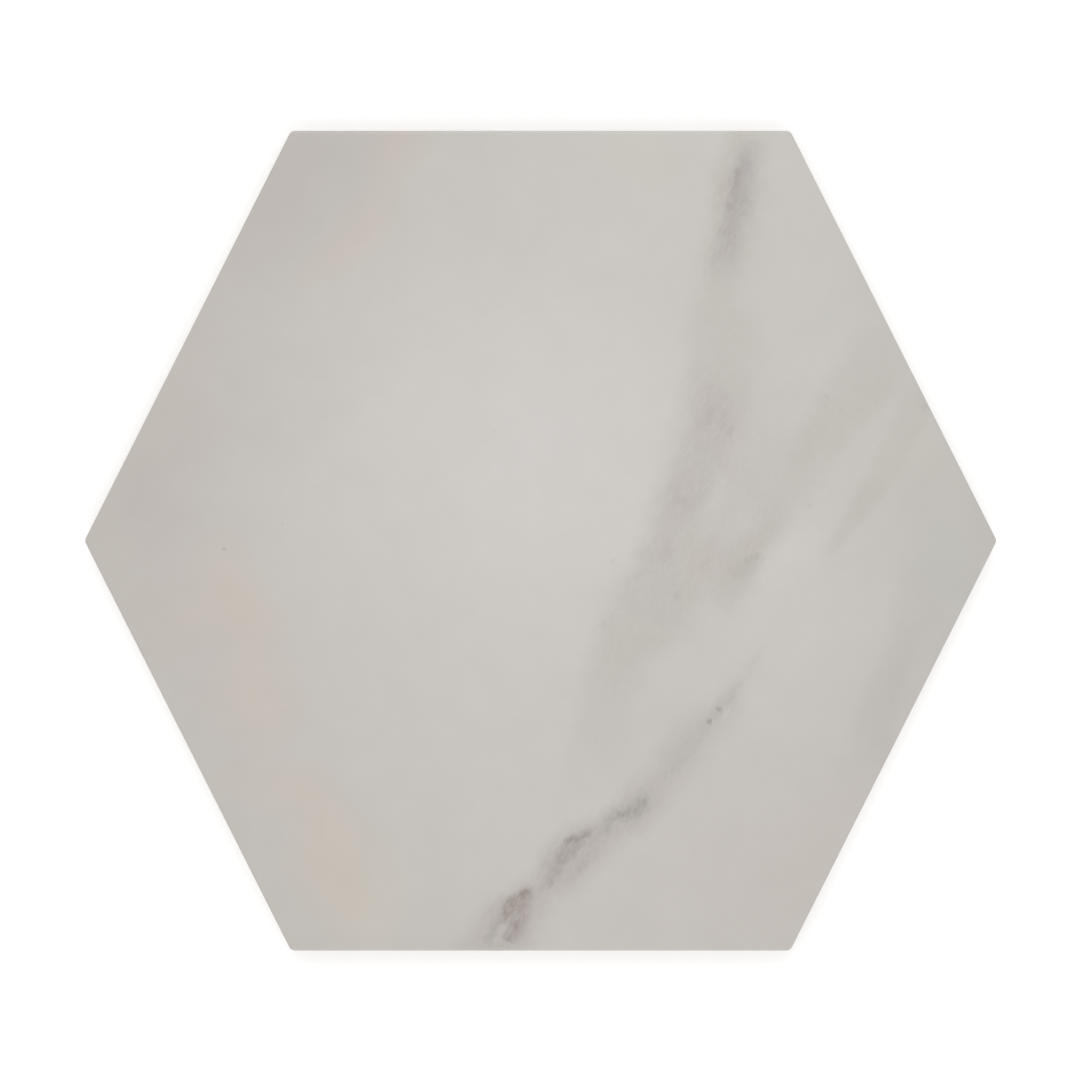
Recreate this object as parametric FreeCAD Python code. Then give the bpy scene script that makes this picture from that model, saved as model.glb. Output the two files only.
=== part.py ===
# Hexagon floor tile, one piece of pressed and glazed porcelain stoneware.
# Millimetres. X runs from point to point, Y from flat side to flat side, Z up out of the glazed face.
# The origin lies on the plane of the back, at the middle of the outline. The tile lies face up.

import FreeCAD
import Part
import math
import os

# Outline, as laid on the floor
POINT_TO_POINT = 254.0  # overall, over the rounding of the two corners on X
FLAT_TO_FLAT = 228.6  # overall, between the two sides that run along X
FLAT_SIDE = 136.9  # straight run of those two sides, between their corner roundings
FACE_CORNER_RADIUS = 0.8  # plan radius of the smallest of the outline's offsets

# Section through the edge, from the face down to the back
THICKNESS = 9.0  # back to face
CUSHION_WIDTH = 1.0  # from the wall in to where the flat of the face begins
CUSHION_RADIUS = 3.0  # of the roll by which the face falls towards its edge
ARRIS_RADIUS = 0.4  # between that roll and the wall
LAND_HEIGHT = 4.5  # above the back: here the wall starts to lean in to leave the die
WALL_LEAN = 0.2  # by how much it leans in down to the bevel
BEVEL_HEIGHT = 1.0  # of the bevel round the back
BEVEL_WIDTH = 0.9

# Keyed back: a honeycomb of shallow pockets inside a plain rim
RIM_WIDTH = 8.0  # from the wall to the first pocket
KEY_PITCH = 26.0  # across the flats, from pocket to pocket
KEY_RIB = 2.8  # width of the crest of a rib
KEY_DEPTH = 0.7  # depth of a pocket
KEY_WALL_RUN = 0.5  # by how much a pocket's wall leans in over that depth
KEY_CORNER_RADIUS = 3.0  # in the corners of a pocket at its mouth
SMALLEST_KEY = 11.0  # a pocket cut off by the rim is left out where its floor would be narrower
SHORTEST_SIDE = 0.6  # a side of a cut-off pocket shorter than this closes up into its corner

# What follows from those sizes
UP = FreeCAD.Vector(0, 0, 1)
back_inset = WALL_LEAN + BEVEL_WIDTH
corner_radius = FACE_CORNER_RADIUS + max(CUSHION_WIDTH, back_inset)


# Plan geometry

def grown_outline(core, radius, z):
    """Closed wire at height z round a convex polygon: every side moved out by radius, every corner
    an arc of that radius about the polygon's own corner."""
    normals = []
    for here, there in zip(core, core[1:] + core[:1]):
        normals.append((there - here).cross(UP).normalize())
    lift = UP * z
    edges = []
    for i, here in enumerate(core):
        before = normals[i - 1]
        after = normals[i]
        middle = FreeCAD.Vector(before + after).normalize()
        arc = Part.Arc(here + before * radius + lift, here + middle * radius + lift, here + after * radius + lift)
        edges.append(arc.toShape())
        there = core[(i + 1) % len(core)]
        edges.append(Part.makeLine(here + after * radius + lift, there + after * radius + lift))
    return Part.Wire(edges)


def part_inside(polygon, start, end, margin):
    """What is left of a convex polygon at least margin to the left of the line from start to end."""
    inward = UP.cross(end - start).normalize()
    depths = [(point - start).dot(inward) - margin for point in polygon]
    left = []
    for i, point in enumerate(polygon):
        j = (i + 1) % len(polygon)
        if depths[i] >= 0:
            left.append(point)
        if (depths[i] >= 0) != (depths[j] >= 0):
            share = depths[i] / (depths[i] - depths[j])
            left.append(point + (polygon[j] - point) * share)
    return left


def without_short_sides(polygon, shortest):
    """The polygon with each side shorter than the given length drawn together into its middle."""
    points = list(polygon)
    i = 0
    while i < len(points) and len(points) > 3:
        j = (i + 1) % len(points)
        if points[i].distanceToPoint(points[j]) < shortest:
            points[i] = (points[i] + points[j]) * 0.5
            points.pop(j)
            i = 0
        else:
            i += 1
    return points


def narrowest(polygon):
    """Width of a convex polygon in its narrowest direction."""
    widths = []
    for here, there in zip(polygon, polygon[1:] + polygon[:1]):
        inward = UP.cross(there - here).normalize()
        widths.append(max((point - here).dot(inward) for point in polygon))
    return min(widths)


# The blank: one edge section run along the six sides and turned round the six corners

def edge_section(centre, outward):
    """Face of the section from the corner's centre out to the wall, standing on the back."""

    def at(inset, z):
        return centre + outward * (corner_radius - inset) + UP * z

    roll_centre_z = THICKNESS - CUSHION_RADIUS
    arris_rise = math.sqrt((CUSHION_RADIUS - ARRIS_RADIUS) ** 2 - (CUSHION_WIDTH - ARRIS_RADIUS) ** 2)
    arris_centre_z = roll_centre_z + arris_rise
    # The angle from the level at which the arris runs out of the wall and into the roll
    lean = math.atan2(arris_rise, CUSHION_WIDTH - ARRIS_RADIUS)

    def on_arris(angle):
        return at(ARRIS_RADIUS * (1 - math.cos(angle)), arris_centre_z + ARRIS_RADIUS * math.sin(angle))

    def on_roll(angle):
        return at(CUSHION_WIDTH - CUSHION_RADIUS * math.cos(angle), roll_centre_z + CUSHION_RADIUS * math.sin(angle))

    upright = math.pi / 2
    foot = [
        at(corner_radius, THICKNESS),
        at(corner_radius, 0),
        at(back_inset, 0),
        at(WALL_LEAN, BEVEL_HEIGHT),
        at(0, LAND_HEIGHT),
        on_arris(0),
    ]
    edges = [Part.makeLine(a, b) for a, b in zip(foot, foot[1:])]
    edges.append(Part.Arc(on_arris(0), on_arris(lean / 2), on_arris(lean)).toShape())
    edges.append(Part.Arc(on_arris(lean), on_roll((lean + upright) / 2), on_roll(upright)).toShape())
    edges.append(Part.makeLine(on_roll(upright), foot[0]))
    return Part.Face(Part.Wire(edges))


tip_x = POINT_TO_POINT / 2 - corner_radius
flat_y = FLAT_TO_FLAT / 2 - corner_radius
side_x = FLAT_SIDE / 2
core = [
    FreeCAD.Vector(tip_x, 0, 0),
    FreeCAD.Vector(side_x, flat_y, 0),
    FreeCAD.Vector(-side_x, flat_y, 0),
    FreeCAD.Vector(-tip_x, 0, 0),
    FreeCAD.Vector(-side_x, -flat_y, 0),
    FreeCAD.Vector(side_x, -flat_y, 0),
]

slab = Part.Face(Part.makePolygon(core + core[:1])).extrude(UP * THICKNESS)
rim = []
for i, here in enumerate(core):
    there = core[(i + 1) % len(core)]
    along_before = here - core[i - 1]
    along_after = there - here
    section = edge_section(here, along_after.cross(UP).normalize())
    rim.append(section.extrude(along_after))
    turn = math.degrees(along_before.getAngle(along_after))
    corner_section = edge_section(here, along_before.cross(UP).normalize())
    rim.append(corner_section.revolve(here, UP, turn))
blank = slab.multiFuse(rim).removeSplitter()


# The keyed back: each pocket is a cell of the honeycomb, cut off by the rim where it reaches it

key_core_radius = (KEY_PITCH - KEY_RIB - 2 * KEY_CORNER_RADIUS) / math.sqrt(3)
row_step = KEY_PITCH / 2
column_step = KEY_PITCH * math.sqrt(3) / 2
# The pocket tools start below the back, where the lean of their walls has made them wider
tool_start = -KEY_DEPTH
mouth_radius = KEY_CORNER_RADIUS + KEY_WALL_RUN
floor_radius = KEY_CORNER_RADIUS - KEY_WALL_RUN
# How far a pocket's arc centres stay inside the tile's own
rim_margin = RIM_WIDTH + KEY_CORNER_RADIUS - corner_radius

columns = int(tip_x / column_step) + 1
rows = int(flat_y / row_step) + 1
pockets = []
for column in range(-columns, columns + 1):
    for row in range(-rows, rows + 1):
        if (column + row) % 2:
            continue
        centre = FreeCAD.Vector(column * column_step, row * row_step, 0)
        cell = []
        for k in range(6):
            angle = k * math.pi / 3
            cell.append(centre + FreeCAD.Vector(math.cos(angle), math.sin(angle), 0) * key_core_radius)
        for here, there in zip(core, core[1:] + core[:1]):
            cell = part_inside(cell, here, there, rim_margin)
        if len(cell) < 3:
            continue
        cell = without_short_sides(cell, SHORTEST_SIDE)
        if narrowest(cell) + 2 * floor_radius < SMALLEST_KEY:
            continue
        mouth = grown_outline(cell, mouth_radius, tool_start)
        floor = grown_outline(cell, floor_radius, KEY_DEPTH)
        pockets.append(Part.makeLoft([mouth, floor], True, True))
tile = blank.cut(Part.makeCompound(pockets))

os.makedirs("parts", exist_ok=True)
tile.Solids[0].exportStep("parts/hexagon_tile.step")
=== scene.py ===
import math

import bpy
import numpy as np
from mathutils.geometry import delaunay_2d_cdt
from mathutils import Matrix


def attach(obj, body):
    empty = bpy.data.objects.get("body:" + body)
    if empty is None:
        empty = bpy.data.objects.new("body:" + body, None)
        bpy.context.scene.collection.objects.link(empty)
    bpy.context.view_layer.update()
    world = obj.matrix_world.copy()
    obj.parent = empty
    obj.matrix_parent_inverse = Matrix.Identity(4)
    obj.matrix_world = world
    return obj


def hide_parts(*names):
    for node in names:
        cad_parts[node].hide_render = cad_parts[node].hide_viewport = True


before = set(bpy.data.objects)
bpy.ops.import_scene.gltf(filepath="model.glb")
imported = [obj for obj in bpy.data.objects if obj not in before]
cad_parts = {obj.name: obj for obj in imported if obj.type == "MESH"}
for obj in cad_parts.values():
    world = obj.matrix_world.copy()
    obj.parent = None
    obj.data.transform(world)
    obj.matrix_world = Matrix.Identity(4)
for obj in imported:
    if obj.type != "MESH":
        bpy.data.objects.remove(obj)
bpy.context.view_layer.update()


# The tile: one piece of porcelain stoneware, pressed from fine powder in a steel die. The die's upper half
# rolls the face down to an eased edge; its lower half bevels the foot and leaves a honeycomb key of shallow
# pockets in the back. The blank is then glazed, printed with its marble and fired.

millimetre = 0.001  # sizes are in millimetres, as a tile maker gives them, and become metres in the mesh

point_to_point = 254.0  # over the two corners on X
flat_to_flat = 228.6  # between the two sides along X
flat_side = 136.9  # straight run of those two sides
corner_radius = 1.9  # of the outline in plan
thickness = 9.0

roll_width = 1.0  # over which the face falls towards the wall
roll_radius = 3.0
arris_radius = 0.4
land_height = 4.5  # where the wall starts to lean in to leave the die
glaze_height = 6.8  # mean height of the line where the glaze ends on the wall
glaze_coat = 0.075  # by which the bare body lies behind the glaze
wall_inset = 0.004  # of the glazed wall, so that it stays inside the outline
body_lean = 0.26  # inset of the wall where the bevel starts
bevel_height = 1.06
bevel_foot = 1.1  # inset of the bevel's foot
rim_start = 1.6  # inset from which the back is flat
body_roundings = (2.0, 0.35, 0.25)  # where the wall starts to lean, and at the bevel's upper edge and foot

# How finely the mesh follows them: steps of each arc, longest step along a side, and loops of the face
path_turn_steps = 9
path_side_step = 2.2
face_loops = 42
roll_steps = 5
arris_steps = 7
body_rounding_steps = 4


def round_path(corners, turn_steps, side_step):
    """Closed path round a convex polygon, along which any section can be carried. Each of its points has a
    swing point and a direction outwards: swing point + radius x direction lies on the polygon grown by that
    radius. Along a side the swing point moves evenly and the direction is square to the side; at a corner
    the swing point stays and the direction turns evenly. Also gives the number of each corner's first
    point."""
    corners = np.asarray(corners, float)
    sides = np.roll(corners, -1, 0) - corners
    facing = np.arctan2(-sides[:, 0], sides[:, 1])
    turned_from = np.roll(facing, 1)
    turns = (facing - turned_from) % (2 * math.pi)
    swings, angles, firsts = [], [], []
    count = 0
    for corner, side, before, turn in zip(corners, sides, turned_from, turns):
        steps = max(1, math.ceil(np.hypot(*side) / side_step))
        firsts.append(count)
        swings += [np.tile(corner, (turn_steps, 1)), corner + side * (np.arange(steps) / steps)[:, None]]
        angles += [before + turn * np.arange(turn_steps) / turn_steps, np.full(steps, before + turn)]
        count += turn_steps + steps
    angles = np.concatenate(angles)
    return np.concatenate(swings), np.stack([np.cos(angles), np.sin(angles)], -1), firsts


def eased(corners, radii, steps):
    """Section line through the corners, each inner corner rounded by an arc that touches both of its sides at
    radius x tan(half the turn) from it. The arc's points are its centre plus the first touching point's arm,
    turned evenly."""
    corners = np.asarray(corners, float)
    rows = [corners[:1]]
    for before, corner, after, radius in zip(corners, corners[1:], corners[2:], radii):
        come = (corner - before) / np.hypot(*(corner - before))
        leave = (after - corner) / np.hypot(*(after - corner))
        turn = math.atan2(come[0] * leave[1] - come[1] * leave[0], come @ leave)
        touch = corner - come * radius * math.tan(abs(turn) / 2)
        arm = np.array([come[1], -come[0]]) * radius * math.copysign(1, turn)
        angle = np.linspace(0, turn, steps + 1)
        spin = np.array([[np.cos(angle), -np.sin(angle)], [np.sin(angle), np.cos(angle)]])
        rows.append(touch - arm + np.einsum("ijk,j->ki", spin, arm))
    rows.append(corners[-1:])
    return np.concatenate(rows)


def grid_quads(first, rows, columns):
    """Quads between neighbouring rows of a grid whose last column meets its first. The point in row r and
    column c has the number first + r x columns + c, and each quad goes down one column and back up the
    next."""
    row, column = np.mgrid[0 : rows - 1, 0:columns]
    beside = (column + 1) % columns
    here, there = row * columns, (row + 1) * columns
    return first + np.stack([here + column, there + column, there + beside, here + beside], -1).reshape(-1, 4)


tip_x = point_to_point / 2 - corner_radius
flat_y = flat_to_flat / 2 - corner_radius
side_x = flat_side / 2
outline = [
    (tip_x, 0),
    (side_x, flat_y),
    (-side_x, flat_y),
    (-tip_x, 0),
    (-side_x, -flat_y),
    (side_x, -flat_y),
]
swing, outward, corner_firsts = round_path(outline, path_turn_steps, path_side_step)
columns = len(swing)

# How far round the outline each point lies, and the glaze line's wander over one trip round, as a sum of
# waves that each fit the trip a whole number of times
wall_line = swing + outward * corner_radius
round_steps = np.hypot(*(np.roll(wall_line, -1, 0) - wall_line).T)
way_round = np.concatenate([[0], np.cumsum(round_steps)])
trips = way_round[:-1] / way_round[-1] * 2 * math.pi
wave_counts = np.array([4, 9, 17, 31, 53, 88])
wave_heights = np.array([0.13, 0.11, 0.09, 0.07, 0.05, 0.035])
wave_starts = np.array([0.4, 2.2, 5.1, 1.3, 3.6, 0.9])
wander = wave_heights @ np.sin(np.outer(wave_counts, trips) + wave_starts[:, None])

# The face: loops that grow evenly from the middle to the edge of the flat, about 3 mm apart
face_shares = np.arange(1, face_loops + 1) / face_loops
flat_edge = swing + outward * (corner_radius - roll_width)
face_rows = np.concatenate(
    [face_shares[:, None, None] * flat_edge, np.full((len(face_shares), columns, 1), thickness)], -1
)


def arc_rows(inset, height, radius, first, last, steps):
    """Rows of the edge's section on an arc about the given inset and height, without the arc's first point:
    inset less radius x cosine, height plus radius x sine of the angle, and no share of the glaze line's
    wander."""
    angles = np.linspace(first, last, steps + 1)[1:]
    return np.stack([inset - radius * np.cos(angles), height + radius * np.sin(angles), 0 * angles], -1)


# The edge's section, as inset from the wall, height, and share of the glaze line's wander: roll, arris,
# glazed wall with the thicker lip where the glaze stopped running, bare wall, bevel, and start of the flat
# back
roll_centre = thickness - roll_radius
arris_rise = math.sqrt((roll_radius - arris_radius) ** 2 - (roll_width - arris_radius) ** 2)
arris_centre = roll_centre + arris_rise
arris_lean = math.atan2(arris_rise, roll_width - arris_radius)
roll_rows = arc_rows(roll_width, roll_centre, roll_radius, math.pi / 2, arris_lean, roll_steps)
arris_rows = arc_rows(arris_radius, arris_centre, arris_radius, arris_lean, 0, arris_steps)
glazed_rows = 7  # of the next table: those that glaze covers
glaze_rows = np.array(
    [
        (0.012, 8.1, 0.0),
        (0.016, glaze_height + 0.60, 0.6),
        (0.012, glaze_height + 0.34, 1.0),
        (0.002, glaze_height + 0.20, 1.0),
        (0.0, glaze_height + 0.13, 1.0),
        (0.008, glaze_height + 0.06, 1.0),
        (0.035, glaze_height + 0.01, 1.0),
        (glaze_coat, glaze_height - 0.02, 1.0),
        (glaze_coat, glaze_height - 0.16, 1.0),
        (glaze_coat, 5.7, 0.3),
    ]
)
body_line = [
    (glaze_coat, 5.2),
    (glaze_coat, land_height),
    (body_lean, bevel_height),
    (bevel_foot, 0),
    (rim_start, 0),
]
body_rows = eased(body_line, body_roundings, body_rounding_steps)
body_rows = np.concatenate([body_rows, np.zeros((len(body_rows), 1))], -1)
edge_rows = np.concatenate([roll_rows, arris_rows, glaze_rows, body_rows])
edge_insets, edge_heights, edge_wander = (edge_rows + (wall_inset, 0, 0)).T
edge_plan = swing + outward * (corner_radius - edge_insets)[:, None, None]
edge_z = edge_heights[:, None] + edge_wander[:, None] * wander
shell = np.concatenate([face_rows, np.concatenate([edge_plan, edge_z[..., None]], -1)])
shell_rows = len(shell)
arris_foot = len(face_shares) + len(roll_rows) + len(arris_rows) - 1  # row where the wall starts
glaze_last = arris_foot + glazed_rows  # last row that glaze covers
shell_points = shell.reshape(-1, 3)
shell_quads = grid_quads(0, shell_rows, columns)

pole = len(shell_points)
around = np.arange(columns)
pole_fan = np.stack([np.full(columns, pole), around, (around + 1) % columns], -1)
last_loop = (shell_rows - 1) * columns + around

# The key: cells of a honeycomb, cut off against the six sides, each pressed in as a pocket with a rounded
# mouth, a leaning wall and a rounded floor
rim_width = 8.0
key_pitch = 26.0
key_rib = 2.8
key_depth = 0.7
key_wall_run = 0.5
key_corner_radius = 3.0
smallest_key = 11.0  # a cut-off pocket with a narrower floor is left out
shortest_side = 0.6  # a side shorter than this closes up into its corner
mouth_ease = 0.35  # radius between the crest and a pocket's wall
floor_ease = 0.5  # radius between that wall and the floor
key_ease_steps = 5
key_turn_steps = 5
key_side_step = 100  # longer than any side of a pocket, so that each is one step


def cut_off(polygon, start, end, margin):
    """What is left of a convex polygon at least margin to the left of the line from start to end. A
    corner's depth is its way to the left less the margin; where the depth changes sign along a side, the
    side is cut in the ratio of the two depths."""
    inward = np.array([start[1] - end[1], end[0] - start[0]]) / math.dist(start, end)
    depths = (polygon - start) @ inward - margin
    kept = []
    neighbours = zip(polygon, np.roll(polygon, -1, 0), depths, np.roll(depths, -1))
    for point, after, depth, depth_after in neighbours:
        if depth >= 0:
            kept.append(point)
        if (depth >= 0) != (depth_after >= 0):
            kept.append(point + (after - point) * depth / (depth - depth_after))
    return np.array(kept).reshape(-1, 2)


def closed_up(polygon, shortest):
    """The polygon with each side shorter than the given length drawn together into its middle."""
    points = list(polygon)
    i = 0
    while i < len(points) and len(points) > 3:
        j = (i + 1) % len(points)
        if math.dist(points[i], points[j]) < shortest:
            points[i] = (points[i] + points[j]) / 2
            points.pop(j)
            i = 0
        else:
            i += 1
    return np.array(points)


def narrowest(polygon):
    """Width of a convex polygon in its narrowest direction: the least, over its sides, of the farthest
    corner's way from that side."""
    sides = np.roll(polygon, -1, 0) - polygon
    inward = np.stack([-sides[:, 1], sides[:, 0]], -1) / np.hypot(*sides.T)[:, None]
    return ((polygon[None] - polygon[:, None]) * inward[:, None]).sum(-1).max(1).min()


hexagon_angles = np.arange(6) * math.pi / 3
key_core = (key_pitch - key_rib - 2 * key_corner_radius) / math.sqrt(3)
key_hexagon = key_core * np.stack([np.cos(hexagon_angles), np.sin(hexagon_angles)], -1)
key_floor_radius = key_corner_radius - key_wall_run
key_margin = rim_width + key_corner_radius - corner_radius
column_step = key_pitch * math.sqrt(3) / 2
row_step = key_pitch / 2
key_columns = int(tip_x / column_step) + 1
key_rows = int(flat_y / row_step) + 1
key_polygons = []
for key_column in range(-key_columns, key_columns + 1):
    for key_row in range(-key_rows, key_rows + 1):
        if (key_column + key_row) % 2:
            continue
        polygon = key_hexagon + (key_column * column_step, key_row * row_step)
        for start, end in zip(outline, outline[1:] + outline[:1]):
            polygon = cut_off(polygon, start, end, key_margin)
        if len(polygon) < 3:
            continue
        polygon = closed_up(polygon, shortest_side)
        if narrowest(polygon) + 2 * key_floor_radius >= smallest_key:
            key_polygons.append(polygon)

# A pocket's section, as radius and height, from the crest of its rib in over the wall to its floor. The
# line's two ends only give the roundings their direction and are dropped again.
pocket_line = [
    (key_corner_radius + 1, 0),
    (key_corner_radius, 0),
    (key_floor_radius, key_depth),
    (key_floor_radius - 1, key_depth),
]
pocket_section = eased(pocket_line, (mouth_ease, floor_ease), key_ease_steps)[1:-1]
points, quads, fans, mouths = [shell_points, [(0, 0, thickness)]], [], [], []
point_count = pole + 1
for polygon in key_polygons:
    pocket_swing, pocket_out, _ = round_path(polygon, key_turn_steps, key_side_step)
    size = len(pocket_swing)
    plan = pocket_swing + pocket_out * pocket_section[:, 0, None, None]
    height = np.broadcast_to(pocket_section[:, 1, None, None], (*plan.shape[:2], 1))
    points += [np.concatenate([plan, height], -1).reshape(-1, 3), [(*polygon.mean(0), key_depth)]]
    quads.append(grid_quads(point_count, len(plan), size))
    mouths.append(point_count + np.arange(size))
    floor_loop = point_count + (len(plan) - 1) * size + np.arange(size)
    middle = point_count + len(plan) * size
    fans.append(np.stack([np.full(size, middle), np.roll(floor_loop, -1), floor_loop], -1))
    point_count = middle + 1
points = np.concatenate([np.asarray(p, float).reshape(-1, 3) for p in points])
pocket_quads = np.concatenate(quads)
floor_fans = np.concatenate(fans)

# The crests and the rim in one plane: triangles between the outline's last loop and the pockets' mouths.
# They are found on a plan drawn in by a millionth of the squared distance from its middle, which bows the
# straight sides out, so that no three of their points lie in line. A mouth is convex, so a triangle with
# all three corners on one mouth lies inside that pocket and is left out.
bow = 1e-6
weld = 1e-7  # distance within which the triangulation takes two points for one
inside_borders = 1  # the triangulation's output type
loops = [last_loop, *mouths]
loop_points = np.concatenate(loops)
loop_of = np.concatenate([np.full(len(loop), number) for number, loop in enumerate(loops)])
loop_starts = np.cumsum([0] + [len(loop) for loop in loops[:-1]])
borders = []
for start, loop in zip(loop_starts, loops):
    along_loop = np.arange(len(loop))
    borders.append(start + np.stack([along_loop, np.roll(along_loop, -1)], -1))
borders = np.concatenate(borders)
bowed = points[loop_points, :2]
bowed = bowed * (1 - bow * (bowed**2).sum(1))[:, None]
filled = delaunay_2d_cdt(bowed.tolist(), borders.tolist(), [], inside_borders, weld, True)
_, _, triangles, origins, _, _ = filled
came_from = np.array([origin[0] for origin in origins])
crest = came_from[np.array(triangles)]
same_loop = (loop_of[crest] == loop_of[crest[:, :1]]).all(1) & (loop_of[crest[:, 0]] > 0)
crest = loop_points[crest[~same_loop]][:, ::-1]

# The bake's map: the face large at the top, the back small at the bottom left, and the wall as six strips
# beside it. Face and wall are laid out at their unrolled length, so no part of them has zero width. Scales
# are in widths of the map a millimetre, places and the step from strip to strip in widths of the map.
face_scale, face_corner = 0.00306, (0.008, 0.2885)
back_scale, back_corner = 0.00121, (0.006, 0.004)
strip_scale, strip_left, strip_top, strip_step = 0.00435, 0.33, 0.280, 0.0468
steps_out = np.diff(edge_insets, prepend=roll_width)
steps_down = np.diff(edge_heights, prepend=thickness)
unrolled = corner_radius - roll_width + np.cumsum(np.hypot(steps_out, steps_down))
face_plan = np.concatenate([face_rows[..., :2], swing + outward * unrolled[:, None, None]])
face_reach = np.abs(face_plan[arris_foot]).max(0)
face_map = (face_plan + face_reach) * face_scale + face_corner
strip_of = np.searchsorted(corner_firsts, around, side="right") - 1
strip_near = way_round[around] - way_round[np.array(corner_firsts)[strip_of]]
strip_far = strip_near + round_steps
wall_insets = edge_insets[arris_foot - len(face_shares) :]
wall_steps = np.hypot(np.diff(wall_insets)[:, None], np.diff(shell[arris_foot:, :, 2], axis=0))
wall_down = np.concatenate([np.zeros((1, columns)), np.cumsum(wall_steps, 0)])
strip_u = strip_left + np.stack([strip_near, strip_near, strip_far, strip_far], -1) * strip_scale
strip_v = strip_top - strip_of * strip_step
quad_rows = shell_quads.reshape(shell_rows - 1, columns, 4)
quad_map = np.empty((shell_rows - 1, columns, 4, 2))
quad_map[:arris_foot] = face_map.reshape(-1, 2)[quad_rows[:arris_foot]]
quad_map[arris_foot:, ..., 0] = strip_u
wall_v = strip_v - wall_down * strip_scale
wall_v_beside = strip_v - np.roll(wall_down, -1, 1) * strip_scale
quad_map[arris_foot:, ..., 1] = np.stack([wall_v[:-1], wall_v[1:], wall_v_beside[1:], wall_v_beside[:-1]], -1)
back_reach = np.array([point_to_point, flat_to_flat]) / 2
back_map = (points[:, :2] * (-1, 1) + back_reach) * back_scale + back_corner
pole_map = np.concatenate([face_map.reshape(-1, 2), [face_reach * face_scale + face_corner]])
bake_map = np.concatenate(
    [
        quad_map.reshape(-1, 2),
        pole_map[pole_fan].reshape(-1, 2),
        back_map[pocket_quads].reshape(-1, 2),
        back_map[floor_fans].reshape(-1, 2),
        back_map[crest].reshape(-1, 2),
    ]
)

tile_mesh = bpy.data.meshes.new("glazed_tile")
tile_faces = []
for faces in (shell_quads, pole_fan, pocket_quads, floor_fans, crest):
    tile_faces += faces.tolist()
tile_mesh.from_pydata((points * millimetre).tolist(), [], tile_faces)
flat_faces = len(floor_fans) + len(crest)  # the last ones
smooth = np.ones(len(tile_faces), bool)
smooth[-flat_faces:] = False
tile_mesh.polygons.foreach_set("use_smooth", smooth)
tile_mesh.uv_layers.new(name="OFBake").data.foreach_set("uv", bake_map.astype(np.float32).ravel())
glazed = np.zeros(len(points))
glazed[: (glaze_last + 1) * columns] = 1
glazed[pole] = 1
tile_mesh.attributes.new("glaze", "FLOAT", "POINT").data.foreach_set("value", glazed.astype(np.float32))
tile_mesh.update()
tile = bpy.data.objects.new("glazed_tile", tile_mesh)
bpy.context.scene.collection.objects.link(tile)
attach(tile, "root")
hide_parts("hexagon_tile")


# The tile's finish: a satin glaze over the face and round its edge, on which the marble is printed in a few
# soft inks: a clouded ground, made lighter in the middle partly by a painted pool of light, broad veins,
# darker cores and flecks. Below the glaze line and on the back the body is bare: pale, faintly speckled, with
# the die's draw marks and a dusting of kiln wash.


def is_number(value):
    """Whether a reading or a plain value is one number and no triple."""
    return value.socket.type == "VALUE" if isinstance(value, Reading) else not hasattr(value, "__len__")


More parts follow.
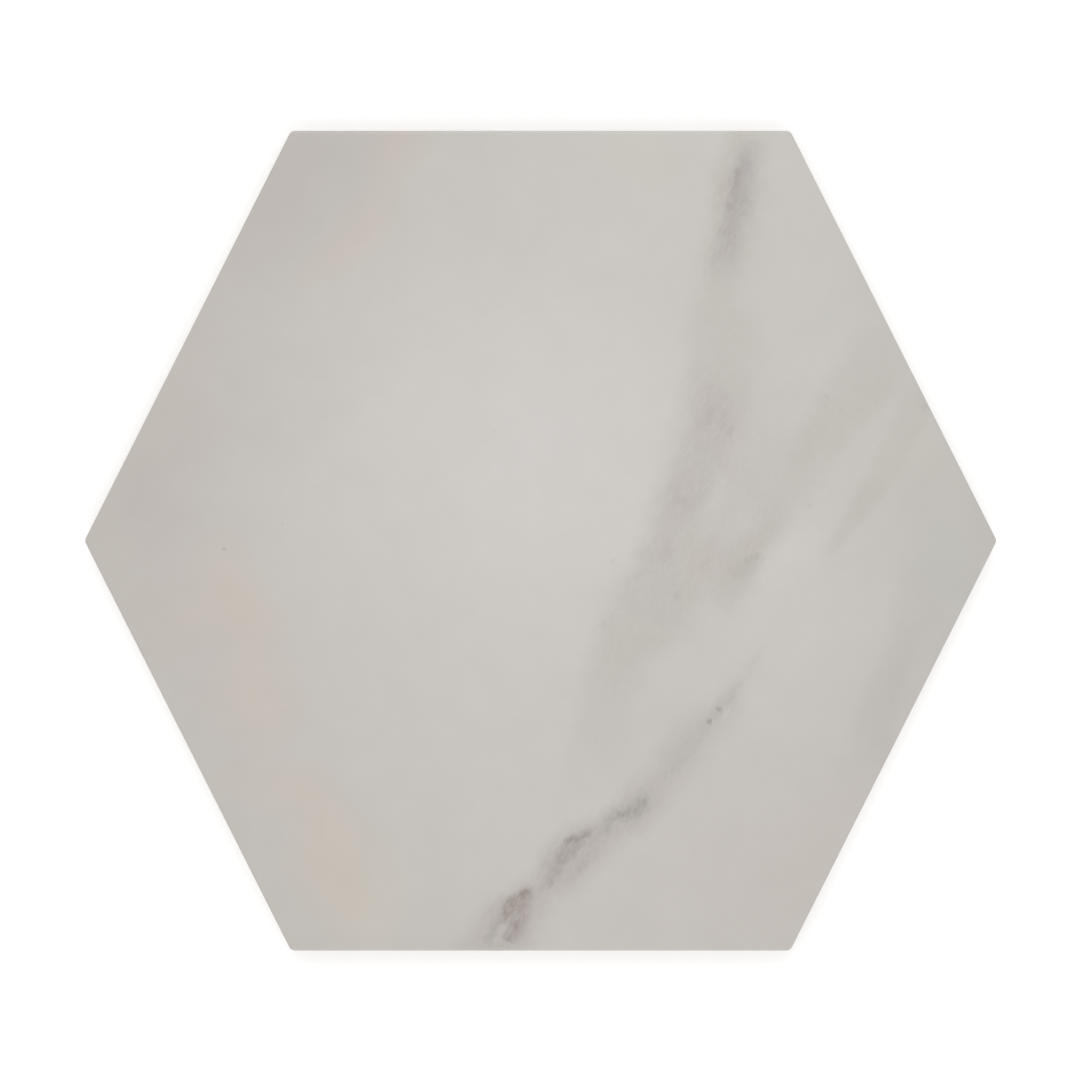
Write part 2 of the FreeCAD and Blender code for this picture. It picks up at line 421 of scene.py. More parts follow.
class Reading:
    """What one node's socket gives at each point of the surface. Sums, differences, products and quotients of
    readings, numbers and triples of numbers add the Math or Vector Math node that works them out."""

    def __init__(self, socket):
        self.socket = socket

    def node(self, kind, settings=None, inputs=None, output=0):
        """Adds a node of the given kind. Its settings are made first, a curve's points among them, then its
        inputs, by name or number, are set to values or linked to readings. Gives the reading of one
        output."""
        tree = self.socket.id_data
        made = tree.nodes.new(kind)
        for name, value in (settings or {}).items():
            if name == "points":
                made.mapping.use_clip = False
                curve = made.mapping.curves[0]
                curve.points[0].location = value[0]
                curve.points[1].location = value[-1]
                for place in value[1:-1]:
                    curve.points.new(*place)
                made.mapping.extend = "HORIZONTAL"
                made.mapping.update()
            else:
                setattr(made, name, value)
        for name, value in (inputs or {}).items():
            socket = made.inputs[name]
            if isinstance(value, Reading):
                tree.links.new(value.socket, socket)
            elif socket.type == "VECTOR" and not hasattr(value, "__len__"):
                socket.default_value = (value, value, value)
            else:
                socket.default_value = value
        return Reading(made.outputs[output])

    def worked(self, operation, first, second=0.0):
        """The reading of a Math node, or of a Vector Math node where one of the two has three parts."""
        kind = "ShaderNodeMath" if is_number(first) and is_number(second) else "ShaderNodeVectorMath"
        return self.node(kind, {"operation": operation}, {0: first, 1: second})

    def __add__(self, other):
        return self.worked("ADD", self, other)

    def __radd__(self, other):
        return self.worked("ADD", other, self)

    def __sub__(self, other):
        return self.worked("SUBTRACT", self, other)

    def __rsub__(self, other):
        return self.worked("SUBTRACT", other, self)

    def __mul__(self, other):
        return self.worked("MULTIPLY", self, other)

    def __rmul__(self, other):
        return self.worked("MULTIPLY", other, self)

    def __truediv__(self, other):
        return self.worked("DIVIDE", self, other)

    def along(self, direction):
        """Scalar product with a direction."""
        return self.node("ShaderNodeVectorMath", {"operation": "DOT_PRODUCT"}, {0: self, 1: direction}, 1)

    def climbed(self, low=0.0, high=1.0, first=0.0, last=1.0):
        """Smooth step from first to last while this reading goes from low to high."""
        inputs = {0: self, 1: low, 2: high, 3: first, 4: last}
        return self.node("ShaderNodeMapRange", {"interpolation_type": "SMOOTHSTEP"}, inputs)

    def followed(self, values):
        """Smooth curve through evenly spaced values, read at this reading's share of the way from 0 to 1."""
        places = [(i / (len(values) - 1), value) for i, value in enumerate(values)]
        return self.node("ShaderNodeFloatCurve", {"points": places}, {1: self})

    def noise(self, size, detail=3.0, roughness=0.5, output=0, across="2D"):
        """Noise whose lumps are about size across, from 0 to 1, with the given number of finer layers.
        Across 2D it is that of the plan, the same at all heights."""
        return self.node(
            "ShaderNodeTexNoise",
            {"noise_dimensions": across},
            {"Vector": self, "Scale": 1 / size, "Detail": detail, "Roughness": roughness},
            output,
        )

    def shaken(self, size, detail, by):
        """This place moved about in the plan by noise of the given size, to each side by half of the given
        way."""
        noise = self.noise(size, detail, output=1)
        parts = noise.node("ShaderNodeSeparateColor", None, {0: noise})
        green = Reading(parts.socket.node.outputs[1])
        inputs = {0: parts.added(by, -by / 2), 1: green.added(by, -by / 2)}
        return self + parts.node("ShaderNodeCombineXYZ", None, inputs)

    def added(self, times, more):
        """This reading times the one, plus the other."""
        return self.node("ShaderNodeMath", {"operation": "MULTIPLY_ADD"}, {0: self, 1: times, 2: more})

    def distance(self, x, y):
        """Distance in the plan from the point x, y."""
        return self.node("ShaderNodeVectorMath", {"operation": "DISTANCE"}, {0: self, 1: (x, y, 1)}, 1)

    def spot(self, x, y, half_length, half_width, turn):
        """Soft spot, 1 in its middle and 0 outside. A round one falls with the distance from its middle; an
        oval one with the sum of the distances from the oval's two focal points."""
        if half_length == half_width:
            return self.distance(x, y).climbed(0.0, half_length, 1.0, 0.0)
        focus = math.sqrt(half_length**2 - half_width**2)
        focus_x, focus_y = focus * math.cos(math.radians(turn)), focus * math.sin(math.radians(turn))
        both = self.distance(x - focus_x, y - focus_y) + self.distance(x + focus_x, y + focus_y)
        return both.climbed(2 * focus, 2 * half_length, 1.0, 0.0)


glaze_material = bpy.data.materials.new("satin_glaze_on_stoneware")
glaze_material.use_nodes = True
glaze_nodes = glaze_material.node_tree.nodes
glaze_shader = glaze_nodes["Principled BSDF"]
place = Reading(glaze_nodes.new("ShaderNodeTexCoord").outputs["Object"]) / millimetre
height = place.along((0, 0, 1))
glaze = place.node("ShaderNodeAttribute", {"attribute_name": "glaze"}, output=2)

# The ground. Levels are those of a screen, 0 to 255 for red, green and blue. Its tone is a grey with the
# lifts of red over green and of green over blue; broad soft clouds lift each of them. The broadest lifts make
# the ground lighter in the middle and darker towards the edges: partly the marble's clouding, partly a
# painted pool of light. They vary too slowly to need the shader, so they are added up at the mesh's points
# and kept in its attribute "ground". A cloud has its middle, half length, half width and turn in degrees,
# then its three lifts.
ground_base = (186.95, 5.25, 6.28)
# The first nine rows, and the lifts in the first eight of warm_clouds, are what a least-squares fit to the
# photograph's levels gave. The other rows were set one by one.
# Partly marble clouding, partly a painted pool of light: the broad lifts of the first rows lighten the middle
# of the face.
clouds_and_light_pool = [
    (25, 20, 135, 85, 9, 14.5, -3.03, -0.34),
    (-10, 35, 65, 58, 16, 4.4, -0.30, -0.60),
    (-9, -58, 139, 100, -30, 9.0, -1.13, -1.18),
    (31, 106, 173, 79, 23, 11.2, -1.89, -0.73),
    (-60, 32, 50, 87, -21, 3.8, -1.44, -0.50),
    (77, -33, 44, 62, -19, 6.9, -0.80, -1.06),
    (84, 70, 33, 65, 2, 3.7, -0.82, -0.65),
    (62, -2, 18, 8, -21, 2.4, -0.35, -0.03),
    (-76, 97, 57, 39, 32, -4.4, 0.63, -0.68),
    (-52, 110, 36, 17, 5, -2.3, 0, -0.5),
    (-107, 14, 18, 24, 0, -2.8, 0.2, -0.3),
    (-8, -107, 17, 17, 0, -2.8, 0.5, 0),
    (-42, -105, 15, 15, 0, 2.0, 0, 0),
    (-45, 34, 20, 15, 0, 2.0, 0, -0.4),
    (22, -3, 15, 24, -20, 1.5, 0.2, -0.3),
    (28, 106, 18, 14, 0, -0.7, 0, 1.9),
    (114, -6, 20, 38, -5, 0, -2.2, -0.6),
]
warm_clouds = [
    (-40, 109, 13, 17, -20, 0, 2.64, 2.67),
    (-53, 86, 25, 11, 50, 0, 3.35, 2.89),
    (-85, -19, 15, 25, 10, 0, 2.42, 3.19),
    (-77, -44, 17, 20, -30, 0, 2.21, 2.87),
    (-59, -86, 14, 33, 25, 0, 3.37, 3.98),
    (-73, 11, 56, 117, 0, 0, 1.12, -0.09),
    (45, -86, 117, 56, 0, 0, 0.82, 0.30),
    (6, 28, 92, 70, 0, 0, 1.93, -1.48),
    (-47, -97, 15, 24, 15, 0, 0.9, 1.9),
    (-101, -22, 20, 13, -10, 0.8, 1.4, 1.4),
    (-71, -67, 24, 10, 10, 0, 1.6, 1.8),
]


def soft_ovals(plan, clouds):
    """Sum of the clouds' lifts at each place. A place's way from a cloud's middle is turned back and
    divided by the half axes; the cloud is 1 - smooth step of its length."""
    x, y, half_length, half_width, turn, *lifts = np.array(clouds).T[..., None]
    turn = np.radians(turn)
    from_x, from_y = plan[:, 0] - x, plan[:, 1] - y
    along = (from_x * np.cos(turn) + from_y * np.sin(turn)) / half_length
    across = (from_y * np.cos(turn) - from_x * np.sin(turn)) / half_width
    climb = 1 - np.minimum(np.hypot(along, across), 1)
    mask = climb * climb * (3 - 2 * climb)
    return np.einsum("lcp,cp->pl", np.array(lifts), mask)


# The clouds' outlines wander a little, by slow waves across the plan: the reach, stretch and starts of each
ground_plan = points[:, :2]
for reach, stretch, starts in ((2.2, 9.0, (0.7, 2.1)), (1.3, 4.3, (3.9, 0.2))):
    ground_plan = ground_plan + reach * np.sin(points[:, 1::-1] / stretch + starts)
ground_tone = ground_base + soft_ovals(ground_plan, clouds_and_light_pool + warm_clouds)
ground_values = np.concatenate([ground_tone, np.ones((len(points), 1))], -1).astype(np.float32)
tile_mesh.attributes.new("ground", "FLOAT_COLOR", "POINT").data.foreach_set("color", ground_values.ravel())

ground = place.node("ShaderNodeAttribute", {"attribute_name": "ground"})
ground_parts = ground.node("ShaderNodeSeparateColor", None, {0: ground}).socket.node
print_tone = [Reading(part) for part in ground_parts.outputs]
# The plan is the place seen from above. Its third part is 1, so that a scalar product can add a number too.
plan = place * (1, 1, 0) + (0, 0, 1)


def lifted(tone, mask, lifts):
    """The tone with a mask added to its grey, its red over green and its green over blue, each times its
    lift."""
    return [part if lift == 0 else mask.added(lift, part) for part, lift in zip(tone, lifts)]


def vein(plan, streaks, patches, start, end, left, right, depth, soft, fibre):
    """What a vein adds to the grey, in levels. A point's share of the run and its way aside are scalar
    products with the run's direction and the square to it. The mask climbs in over the left edge and falls
    over the right one; the streaks shift both edges, to each side by half the fibre's length, and the
    patches multiply the depth."""
    start, end = np.array(start), np.array(end)
    run = np.hypot(*(end - start))
    ahead = (end - start) / run
    square = np.array([-ahead[1], ahead[0]])
    share = plan.along((*(ahead / run), -(start @ ahead) / run))
    aside = streaks.added(fibre, plan.along((*square, -(start @ square) - fibre / 2)))
    inside_left = (aside - share.followed(left)).climbed(-soft[0] / 2, soft[0] / 2)
    inside_right = (share.followed(right) - aside).climbed(-soft[1] / 2, soft[1] / 2)
    return inside_left * inside_right * share.followed(depth) * patches


# The streaks and patches of all veins come from two noises, drawn out along the way in which the marble runs
marble_turn = math.radians(62)
marble_draw = 0.3  # a lump's width as a share of its length
plan_frayed = plan.shaken(7.0, 3.0, 2.6)
plan_fine = plan.shaken(1.8, 2.0, 1.1)
marble_along = plan_fine.along((marble_draw * math.cos(marble_turn), marble_draw * math.sin(marble_turn), 0))
marble_across = plan_fine.along((-math.sin(marble_turn), math.cos(marble_turn), 0))
marble_place = marble_along.node("ShaderNodeCombineXYZ", None, {0: marble_along, 1: marble_across})
streaks = marble_place.noise(1.9, 3.0, 0.62)
fine_streaks = marble_place.noise(0.8, 2.0, 0.62)
patches = streaks.added(0.4, fine_streaks.added(0.85, 0.375))

# Veins. Each is a band along a straight run from start to end, with its left and right edges, as
# millimetres aside of that run, and the depth of its grey given at even steps, then how soft each edge is,
# its tint, which is the shares of the depth by which red over green and green over blue change, and the
# length of its fibres.
# Most of these numbers are what the same fit gave; some were changed after it.
veins = [
    # The long veil from the top side down, sharp on its left and fading on its right
    dict(start=(62.7, 122.7), end=(6.9, -72.4),
         left=(-6.3, -7.2, -4.9, -4.4, -3.5, 0.2, 0.8, 0.8, 0.2, -4.2, -3.7, -4.1, -4.8),
         right=(0.0, 2.2, 5.9, 6.3, 16.9, 17.2, 16.6, 16.9, 20.0, 17.7, 11.0, 11.7, 9.7),
         depth=(-4.6, -10, -13.3, -8.5, -6.5, -10.2, -7.6, -11, -9.2, -9, -5.9, -3.3, 0),
         soft=(8.5, 14.0), tint=(-0.16, -0.10), fibre=2.2),
    # Its dark core near the top
    dict(start=(59.0, 111.6), end=(50.1, 69.8),
         left=(-1.2, -3.5, -3.4, -4.6, -6.4), right=(4.3, 3.4, 3.5, 3.1, 2.1),
         depth=(0, -9.3, -6.8, -3.9, 0), soft=(3.7, 5.3), tint=(0.04, 0.30), fibre=1.6),
    # Its core where it leans over
    dict(start=(50.7, 43.3), end=(27.8, -22.2),
         left=(-5.5, -4.5, -4.9, -3.8, -7.0, -2.6), right=(0.4, 6.9, 7.2, 2.3, 7.1, 11.1),
         depth=(0, -5.4, -6.1, -2.5, -2.5, 0), soft=(5.0, 5.7), tint=(-0.09, 0.20), fibre=2.6),
    # The thin veil between it and the next
    dict(start=(72.4, 47.5), end=(41.8, -27.8),
         left=(-13.3, -13.4, -11.1, -5.9, -6.9, -2.0), right=(11.8, 11.4, 9.8, 10.9, 8.9, 5.3),
         depth=(0, -3.4, -6.2, -6.4, -3.6, 0), soft=(6.0, 8.6), tint=(-0.26, -0.05), fibre=3.0),
    # The second vein, from the right side down to the first
    dict(start=(98.9, 58.6), end=(48.7, -19.4),
         left=(-9.0, -8.5, -7.4, -4.0, -1.3, -6.3, 0.7), right=(3.1, 8.5, 5.6, 5.3, 4.0, 3.9, 4.7),
         depth=(0, -4.5, -6.6, -4.5, -4.7, -6.3, 0), soft=(7.9, 7.5), tint=(-0.08, -0.08), fibre=2.4),
    # The third, short and thin
    dict(start=(108.6, 47.5), end=(78.5, -4.1),
         left=(-4.5, -2.0, -1.2, -0.5, -1.9), right=(5.0, 6.2, 6.0, 4.9, 2.2),
         depth=(-2.3, -3.0, -3.3, -6.1, 0), soft=(4.0, 3.5), tint=(0, -0.04), fibre=1.6),
    # The shade near the right side
    dict(start=(112.8, -5.5), end=(90.5, -72.4),
         left=(-5.9, -10.3, -7.8, -9.7, -9.6, -8.0), right=(4.3, 4.2, 0.3, 0.6, 3.7, 6.9),
         depth=(0, -2.2, -3.9, -4.9, -2.3, 0), soft=(6.0, 6.7), tint=(0, 0.16), fibre=2.4),
    # The dark vein at the bottom
    dict(start=(62.7, -32.0), end=(-23.7, -118.4),
         left=(-2.5, -0.9, -0.8, -2.8, -2.1, 0.3, 0.2, -3.6, -4.6, -2.2, -4.1, -3.9, -0.9),
         right=(-0.4, 2.2, 5.9, 7.2, 8.7, 9.0, 7.8, 6.9, 7.6, 6.0, 8.9, 10.8, 18.1),
         depth=(0, -7.2, -10, -7.9, -8.7, -13.5, -17, -17, -17, -15, -16, -9.4, -9.8),
         soft=(8.4, 10.7), tint=(-0.05, 0.03), fibre=2.6),
]
for band in veins:
    tint = band.pop("tint")
    print_tone = lifted(print_tone, vein(plan_frayed, streaks, patches, **band), (1, *tint))


def core_edges(line, half_widths, steps=9):
    """Run and edges of a core that follows a line of points. A point's share of the straight run and its
    way aside are scalar products with the run's direction and the square to it; both go evenly from point
    to point, and the edges lie half a width to each side."""
    line = np.array(line)
    ahead = line[-1] - line[0]
    run = np.hypot(*ahead)
    shares = (line - line[0]) @ ahead / run**2
    asides = (line - line[0]) @ (-ahead[1], ahead[0]) / run
    even = np.linspace(0, 1, steps)
    middle = np.interp(even, shares, asides)
    half = np.interp(even, np.linspace(0, 1, len(half_widths)), half_widths)
    return dict(start=line[0], end=line[-1], left=(middle - half).tolist(), right=(middle + half).tolist())


# Dark cores in the veins: each follows a line of points, with its half widths and depths at even steps
# along it, and is broken up by spots
cores = [
    # In the long veil near the top
    dict(line=((57.4, 108.8), (56.8, 105.4), (55.1, 101.5), (54.6, 97.6), (53.2, 93.7), (52.9, 88.7),
               (53.2, 82.0), (51.2, 77.6)),
         half_widths=(0.9, 1.1, 1.6, 2.2, 2.0), depth=(0, -9, -6, -4.5, -3, -3.5, -2.5, 0), soft=(2.2, 3.4),
         tint=(-0.10, -0.06), fibre=1.2),
    # In the dark vein, from its brown patches up to the bend
    dict(line=((-2.2, -97.4), (1.2, -96.2), (3.2, -94.0), (4.9, -91.0), (5.5, -88.6), (6.3, -86.4),
               (7.3, -84.3)),
         half_widths=(0.9, 1.1, 1.5, 1.3, 1.0, 0.8), depth=(0, -7, -11, -11, -11, -11, 0), soft=(2.2, 3.6),
         tint=(0, 0), fibre=1.0),
    # From the bend to the right
    dict(line=((6.6, -84.2), (9.6, -83.2), (12.4, -81.9), (14.4, -80.6), (16.6, -79.4)),
         half_widths=(0.8, 1.0, 1.1, 0.8), depth=(0, -18, -20, -12, 0), soft=(1.8, 2.6),
         tint=(0, 0), fibre=0.8),
    # Two fine threads under it
    dict(line=((6.1, -91.3), (7.9, -88.2), (9.4, -86.1), (12.6, -83.8)),
         half_widths=(0.6, 0.9, 0.8), depth=(0, -7, -12, -14, 0), soft=(1.6, 2.6), tint=(0, 0), fibre=0.8),
    dict(line=((8.2, -94.2), (11.5, -90.4), (14.6, -87.6), (17.4, -85.6)),
         half_widths=(0.7, 1.0, 0.7), depth=(0, -4, -5, -3, 0), soft=(2.0, 2.8),
         tint=(0.10, 0.10), fibre=1.4),
    # The knot further up
    dict(line=((15.6, -82.1), (17.5, -80.5), (18.9, -78.2), (20.9, -76.8), (23.5, -76.4), (25.8, -75.4),
               (27.7, -73.9), (29.0, -72.2), (29.6, -69.8)),
         half_widths=(1.0, 1.4, 2.0, 2.2, 2.0, 1.4), depth=(0, -6, -11, -13, -11, -13, 0), soft=(3.2, 4.2),
         tint=(0.14, 0.06), fibre=1.4),
    # The two brown patches at the foot
    dict(line=((-2.2, -95.8), (-3.8, -98.0), (-5.2, -99.4), (-7.0, -100.4), (-8.6, -102.2), (-9.5, -105.0),
               (-10.6, -107.2)),
         half_widths=(0.8, 1.6, 1.9, 1.9, 1.5, 0.9), depth=(0, -16, -26, -22, -24, -24, -16, 0),
         soft=(2.4, 3.6), tint=(-0.13, -0.05), fibre=1.2),
    dict(line=((-3.5, -101.0), (-5.0, -104.4), (-6.4, -107.3), (-8.2, -109.7), (-9.4, -111.8)),
         half_widths=(1.4, 1.7, 1.6, 1.3), depth=(0, -13, -13, -19, -20, 0), soft=(2.8, 3.6),
         tint=(-0.20, 0.06), fibre=1.4),
    # A thread in its tail
    dict(line=((-11.0, -105.8), (-12.9, -107.6), (-13.8, -109.4), (-15.4, -112.4)),
         half_widths=(0.8, 1.0, 0.8), depth=(0, -11, -12, 0), soft=(2.2, 3.2), tint=(0.10, 0.10), fibre=1.0),
    # The thin end of the vein and its last wisp
    dict(line=((33.4, -67.4), (36.7, -63.5), (41.2, -57.9), (44.5, -53.7), (47.9, -49.2), (51.8, -44.5),
               (56.4, -38.6)),
         half_widths=(1.2, 1.7, 1.3, 1.0), depth=(0, -4, -4, -5, -7, 0), soft=(3.4, 4.6),
         tint=(0.05, 0.0), fibre=2.4),
    dict(line=((56.4, -40.2), (59.0, -34.5), (62.6, -28.6)),
         half_widths=(0.6, 0.8, 0.5), depth=(0, -3.5, -4, 0), soft=(2.4, 3.2), tint=(0, 0), fibre=1.6),
]
spots = plan.noise(2.4, 2.0, 0.6).climbed(0.30, 0.70, 0.70, 1.25) * fine_streaks.added(1.2, 0.4)
for core in cores:
    tint = core.pop("tint")
    edges = core_edges(core.pop("line"), core.pop("half_widths"))
    print_tone = lifted(print_tone, vein(plan_fine, fine_streaks, spots, **edges, **core), (1, *tint))

# Flecks in the veins, dark and light, and a few specks on the ground: middle, half length, half width and
# turn of each as for a cloud, then the lift of its grey. A round one is finely frayed, an oval one ragged.
flecks = [
    (46.6, 34.6, 3.4, 2.2, 70, -4),
    (52.9, 30.7, 1.5, 1.0, 80, -7),
    (52.7, 93.2, 1.6, 1.2, 60, -6),
    (35.2, -3.0, 3.6, 1.8, 75, -3),
    (45.6, -6.4, 2.2, 1.1, 40, -4),
    (57.9, -7.0, 6.0, 3.6, 38, -4),
    (59.0, -4.8, 2.8, 1.1, 34, -5),
    (38.2, -14.8, 2.2, 1.4, 60, -4),
    (20.2, -5.4, 1.3, 1.3, 0, -6),
    (17.5, -23.2, 1.5, 1.5, 0, -5),
    (75.2, 9.9, 1.2, 1.2, 0, -8),
    (79.8, 40.2, 1.3, 1.3, 0, -6),
    (84.0, 36.2, 1.6, 1.6, 0, -4),
    (49.6, -46.8, 1.2, 1.2, 0, -25),
    (47.1, -50.3, 1.1, 1.1, 0, -26),
    (7.7, -83.5, 1.6, 1.3, 20, -9),
    (7.4, -86.2, 5.5, 3.0, 55, -6),
    (-4.4, -98.4, 2.0, 1.5, 62, -12),
    (10.9, -92.0, 3.8, 1.6, 52, -3),
    (-88.1, -2.4, 0.9, 0.9, 0, -18),
    (-72.0, 4.6, 0.8, 0.8, 0, -8),
    (-13.2, 30.8, 0.9, 0.9, 0, -5),
    (106.8, 37.0, 1.3, 1.0, 60, -6),
    (70.0, -5.0, 13.0, 9.0, 40, 2.2),
    (51.6, -48.0, 1.7, 1.2, 60, 6),
    (22.6, -78.5, 2.6, 1.8, 25, 4),
    (11.2, -86.0, 3.0, 1.6, 35, 3),
    (-10.9, -108.5, 4.2, 1.2, 60, 6),
]
plan_ragged = plan_fine.shaken(0.9, 1.0, 1.3)
for x, y, half_length, half_width, turn, lift in flecks:
    where = plan_fine if half_length == half_width else plan_ragged
    print_tone[0] = where.spot(x, y, half_length, half_width, turn).added(lift, print_tone[0])

# The ground's own grain: broad mottling, and the fine dots that the print heads leave. Noise varies about
# 0.5, and what it is multiplied by is in levels.
mottling = (plan_frayed.noise(11.0, 4.0, 0.6) - 0.5) * 5.0
dots = (plan.noise(0.7, 2.0, 0.6) - 0.5) * 2.4
print_tone[0] = print_tone[0] + mottling + dots

# Over the arris and down the wall the print gives way to plain glaze
plain_tone = (192.0, 4.5, 6.5)
print_ends, print_full = 8.50, 8.86  # heights
printed = height.climbed(print_ends, print_full)
glaze_tone = [plain + printed * (part - plain) for part, plain in zip(print_tone, plain_tone)]

# Bare body: pale warm grey with fine dark and rusty grains, kiln wash on the crests and the rim of the
# back, and faint marks of the kiln's rollers across it. The glaze line is a shade darker, where glaze
# soaked into the body.
roller_pitch = 68  # from mark to mark
wave_length = 0.31  # of the Wave node's bands at scale 1
grains = place.noise(0.45, 0.0, across="3D").climbed(0.73, 0.84)
broad_blotches = (place.noise(16.0, 3.0, 0.55, across="3D") - 0.5) * 12
fine_blotches = (place.noise(0.9, 2.0, 0.6, across="3D") - 0.5) * 9
dusting = plan.noise(9.0, 4.0, 0.62) + plan.noise(0.8, 2.0, 0.7) * 0.5
wash = height.climbed(0.02, 0.16, 1.0, 0.0) * dusting.climbed(0.60, 0.92)
roller_scale = wave_length / roller_pitch
roller = place.node(
    "ShaderNodeTexWave",
    {"wave_type": "BANDS", "bands_direction": "Y", "wave_profile": "SIN"},
    {"Vector": place, "Scale": roller_scale, "Distortion": 1.5, "Detail": 2.0, "Detail Scale": 2.0},
    1,
)
roller_marks = roller.climbed(0.80, 1.0) * height.climbed(0.1, 0.5, 1.0, 0.25)
line_shade = height.climbed(6.1, 6.75) * (1 - height.climbed(6.9, 7.1))
body_tone = [188.0 + (broad_blotches + fine_blotches), 9.0, 14.0]
body_marks = (
    (grains, (-34, 6, 6)),
    (wash, (30, -4, -6)),
    (roller_marks, (-12, 1, 1)),
    (line_shade, (-9, 1, 1)),
)
for mask, lifts in body_marks:
    body_tone = lifted(body_tone, mask, lifts)

# From grey and differences to red, green and blue, and from a screen's levels to a colour
full_level = 255
screen_gamma = 2.25
tone = [body + glaze * (part - body) for part, body in zip(glaze_tone, body_tone)]
grey, red_over_green, green_over_blue = tone
green = grey - (red_over_green - green_over_blue) / 3
channels = [part / full_level for part in (green + red_over_green, green, green - green_over_blue)]
levels = green.node("ShaderNodeCombineColor", None, dict(enumerate(channels)))
colour = levels.node("ShaderNodeGamma", None, {0: levels, 1: screen_gamma})

# The satin of the glaze wavers a little; bare body is matt. Both have a fine relief, in millimetres: orange
# peel on the glaze, pressed grain on the body with upright draw marks of the die on its wall
satin = 0.37 + (plan.noise(22.0, 3.0) - 0.5) * 0.06 + (plan.noise(0.8, 2.0) - 0.5) * 0.05
matt = 0.78 + (place.noise(1.5, 2.0, across="3D") - 0.5) * 0.16
roughness = matt + glaze * (satin - matt)
peel = plan.noise(1.4, 2.0, 0.45) * 0.006 + plan.noise(9.0, 1.0) * 0.012
upright = place.node("ShaderNodeMapping", None, {"Vector": place, "Scale": (1, 1, 0.04)})
draw_marks = upright.noise(0.35, 2.0, 0.6, across="3D") * 0.018 * height.climbed(0.9, 1.4)
fine_grain = place.noise(0.45, 2.0, 0.65, across="3D") * 0.020
pressed = fine_grain + place.noise(3.0, 1.0, across="3D") * 0.02 + draw_marks
relief = pressed + glaze * (peel - pressed)
bump = relief.node("ShaderNodeBump", None, {"Strength": 1.0, "Distance": millimetre, "Height": relief})

for reading, socket in ((colour, "Base Color"), (roughness, "Roughness"), (bump, "Normal")):
    glaze_material.node_tree.links.new(reading.socket, glaze_shader.inputs[socket])
glaze_shader.inputs["IOR"].default_value = 1.5
tile_mesh.materials.append(glaze_material)


# The floor: a level, plain white table under the tile, wide enough to fill every view. It keeps the tile's
# soft shadow and shows white to the camera; far out, where the lamps reach it less, a faint glow makes up
# for them.

floor_half, floor_drop = 4.0, 0.00005  # metres
floor_mesh = bpy.data.meshes.new("pale_floor")
floor_corners = np.array([(-1, -1), (1, -1), (1, 1), (-1, 1)]) * floor_half
floor_mesh.from_pydata([(x, y, -floor_drop) for x, y in floor_corners.tolist()], [], [(0, 1, 2, 3)])
floor = bpy.data.objects.new("pale_floor", floor_mesh)
bpy.context.scene.collection.objects.link(floor)

floor_material = bpy.data.materials.new("white_table")
floor_material.use_nodes = True
floor_shader = floor_material.node_tree.nodes["Principled BSDF"]
floor_shader.inputs["Base Color"].default_value = (0.86, 0.86, 0.86, 1)
floor_shader.inputs["Roughness"].default_value = 0.9
floor_shader.inputs["Specular IOR Level"].default_value = 0.0


def seen_by(nodes):
    """1 on the rays by which the camera sees a thing itself, in a gloss or through glass, the largest of
    the three ray kinds of Light Path, and 0 on the rays that light the object."""
    rays = nodes.new("ShaderNodeLightPath").outputs
    seen = Reading(rays["Is Camera Ray"])
    seen = seen.worked("MAXIMUM", seen, Reading(rays["Is Glossy Ray"]))
    return seen.worked("MAXIMUM", seen, Reading(rays["Is Transmission Ray"]))


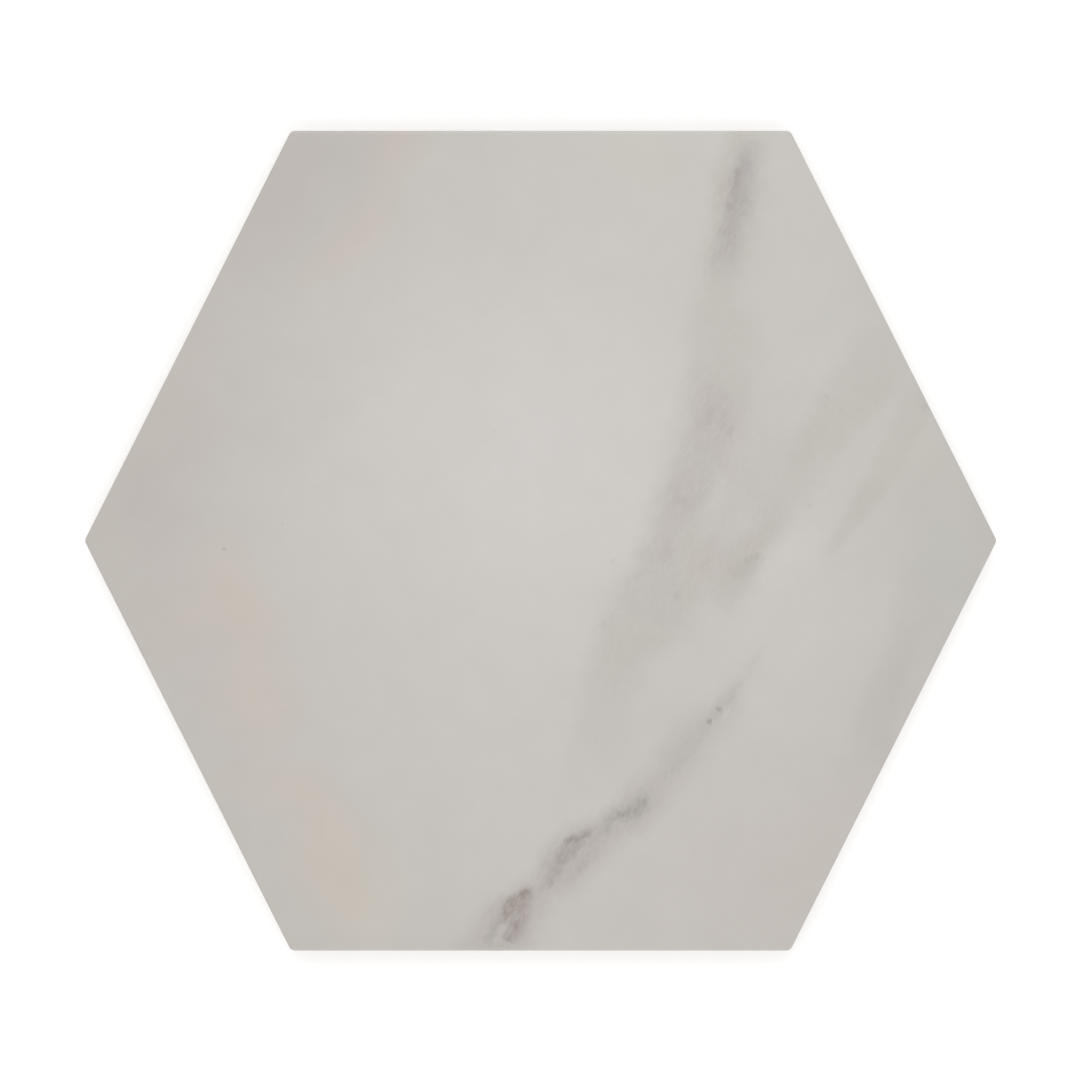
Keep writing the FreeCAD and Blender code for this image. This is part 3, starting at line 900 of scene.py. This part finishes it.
floor_nodes = floor_material.node_tree.nodes
floor_place = Reading(floor_nodes.new("ShaderNodeTexCoord").outputs["Object"])
far_out = floor_place.node("ShaderNodeVectorMath", {"operation": "LENGTH"}, {0: floor_place}, 1)
floor_glow = seen_by(floor_nodes) * far_out.climbed(0.3, 1.5, 0.30, 0.60)
floor_material.node_tree.links.new(floor_glow.socket, floor_shader.inputs["Emission Color"])
floor_shader.inputs["Emission Strength"].default_value = 1.0
floor_mesh.materials.append(floor_material)


# Light and camera: even light all round, with one broad soft lamp over the tile's top side and another
# opposite. The camera looks straight down from as far as the photograph's scale asks.

even_light = 0.68
world = bpy.data.worlds.new("studio")
bpy.context.scene.world = world
world.use_nodes = True
world_light = world.node_tree.nodes["Background"]
world_strength = even_light + seen_by(world.node_tree.nodes) * (1 - even_light)
world.node_tree.links.new(world_strength.socket, world_light.inputs["Strength"])
world_light.inputs["Color"].default_value = (1, 1, 1, 1)

lamp_side, lamp_distance = 1.8, 3.0  # metres
lamp_lean = math.radians(36)  # from upright


def lamp(name, watts, towards):
    """Square soft lamp facing the middle of the tile. Its place is its distance times a direction that
    leans from upright towards the given compass angle, in degrees counted from +X."""
    light = bpy.data.lights.new(name, "AREA")
    light.shape = "SQUARE"
    light.size = lamp_side
    light.energy = watts
    made = bpy.data.objects.new(name, light)
    towards = math.radians(towards)
    made.location = (
        lamp_distance * math.sin(lamp_lean) * math.cos(towards),
        lamp_distance * math.sin(lamp_lean) * math.sin(towards),
        lamp_distance * math.cos(lamp_lean),
    )
    made.rotation_euler = (0, lamp_lean, towards)
    made.visible_camera = False
    bpy.context.scene.collection.objects.link(made)


lamp("soft_lamp_top", watts=17.5, towards=96)
lamp("soft_lamp_opposite", watts=15.5, towards=276)

photo_side = 1080  # pixels
pixels_per_millimetre = 3.588
photo_middle = (540.6, 540.7)  # pixel on which the middle of the outline lies
camera = bpy.data.cameras.new("straight_down")
camera.lens = 85
camera.sensor_width = 36
focal_pixels = camera.lens / camera.sensor_width * photo_side
camera_height = thickness + focal_pixels / pixels_per_millimetre
camera_object = bpy.data.objects.new("straight_down", camera)
camera_object.location = (
    (photo_side / 2 - photo_middle[0]) / pixels_per_millimetre * millimetre,
    (photo_middle[1] - photo_side / 2) / pixels_per_millimetre * millimetre,
    camera_height * millimetre,
)
bpy.context.scene.collection.objects.link(camera_object)
bpy.context.scene.camera = camera_object
bpy.context.scene.view_settings.view_transform = "Standard"
